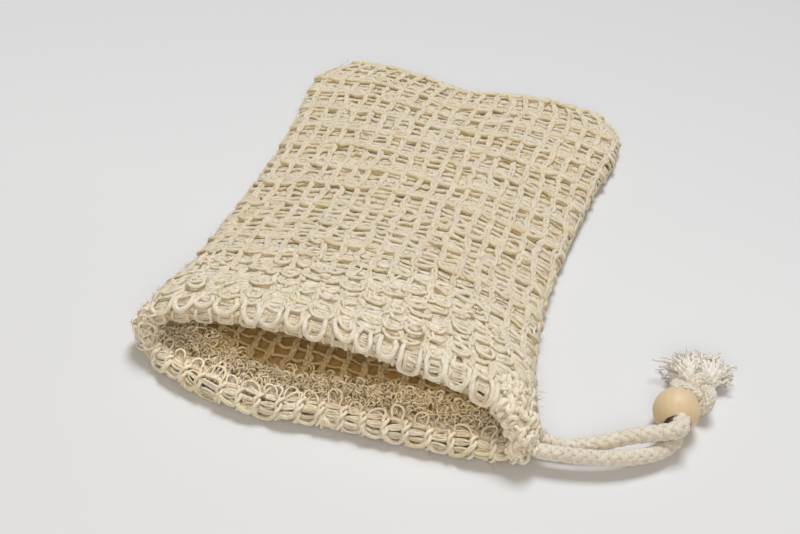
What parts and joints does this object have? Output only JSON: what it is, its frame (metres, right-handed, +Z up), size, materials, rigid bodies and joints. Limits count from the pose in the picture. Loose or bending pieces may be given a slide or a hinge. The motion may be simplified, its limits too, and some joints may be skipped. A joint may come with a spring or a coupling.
{
  "type": "sisal soap pouch",
  "caption": "Knitted sisal pouch for a bar of soap, lying flat with its mouth ajar; a cotton drawstring leaves the hem at a corner and ends in a wooden bead and a frayed knot.",
  "frame": {"origin": "on the surface that the pouch lies on, below the middle of the pouch's own box", "axes": "+Z up; +Y along the pouch from its mouth to its closed end; +X across it, towards the side on which the drawstring comes out"},
  "size_m": [0.1409, 0.1438, 0.0213],
  "materials": {
    "sisal": "coarse open knit of natural, undyed sisal yarn",
    "cotton": "soft braided cotton cord, undyed",
    "wood": "pale turned wood, lightly waxed"
  },
  "bodies": {
    "root": {"pouch": "sisal", "drawstring": "cotton", "bead": "wood", "knot": "cotton"}
  },
  "joints": []
}
